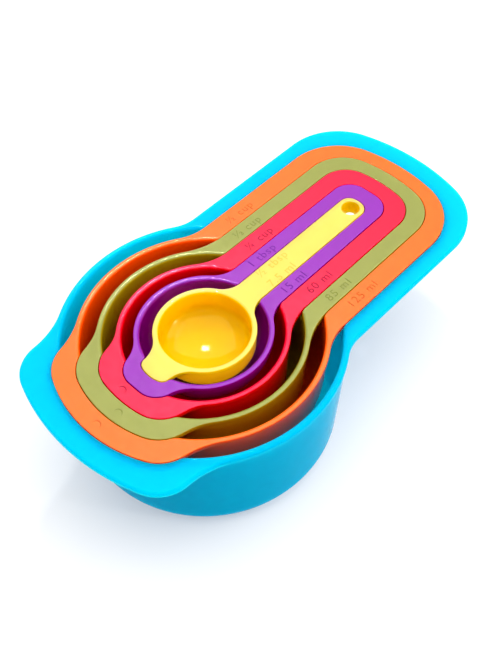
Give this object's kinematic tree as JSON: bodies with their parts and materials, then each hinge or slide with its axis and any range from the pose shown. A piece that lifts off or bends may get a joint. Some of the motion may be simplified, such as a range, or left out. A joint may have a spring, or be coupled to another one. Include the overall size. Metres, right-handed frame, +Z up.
{
  "type": "measuring cup set",
  "caption": "Nesting measuring cups in moulded plastic: each round bowl hangs from a flat plate with a recessed handle and a broad pouring lip, and the next smaller cup lies flush in it.",
  "frame": {"origin": "centre of the largest cup's flat base, on the surface it stands on", "axes": "+X from the bowls along the handles, -X toward the pouring lips, +Z up out of the bowls"},
  "size_m": [0.1675, 0.0964, 0.0486],
  "materials": {
    "full_cup_plastic": "semi-gloss injection-moulded plastic",
    "half_cup_plastic": "semi-gloss injection-moulded plastic",
    "third_cup_plastic": "semi-gloss injection-moulded plastic",
    "quarter_cup_plastic": "semi-gloss injection-moulded plastic",
    "tablespoon_plastic": "semi-gloss injection-moulded plastic",
    "half_tablespoon_plastic": "semi-gloss injection-moulded plastic"
  },
  "bodies": {
    "full_cup": {"full_cup": "full_cup_plastic"},
    "half_cup": {"half_cup": "half_cup_plastic"},
    "third_cup": {"third_cup": "third_cup_plastic"},
    "quarter_cup": {"quarter_cup": "quarter_cup_plastic"},
    "tablespoon": {"tablespoon": "tablespoon_plastic"},
    "half_tablespoon": {"half_tablespoon": "half_tablespoon_plastic"}
  },
  "joints": [
    {"name": "half_cup_lift", "type": "slide", "parent": "full_cup", "child": "half_cup", "axis": [0, 0, 1], "range_m": [0, 0.04]},
    {"name": "third_cup_lift", "type": "slide", "parent": "half_cup", "child": "third_cup", "axis": [0, 0, 1], "range_m": [0, 0.037]},
    {"name": "quarter_cup_lift", "type": "slide", "parent": "third_cup", "child": "quarter_cup", "axis": [0, 0, 1], "range_m": [0, 0.035]},
    {"name": "tablespoon_lift", "type": "slide", "parent": "quarter_cup", "child": "tablespoon", "axis": [0, 0, 1], "range_m": [0, 0.02]},
    {"name": "half_tablespoon_lift", "type": "slide", "parent": "tablespoon", "child": "half_tablespoon", "axis": [0, 0, 1], "range_m": [0, 0.017]}
  ]
}
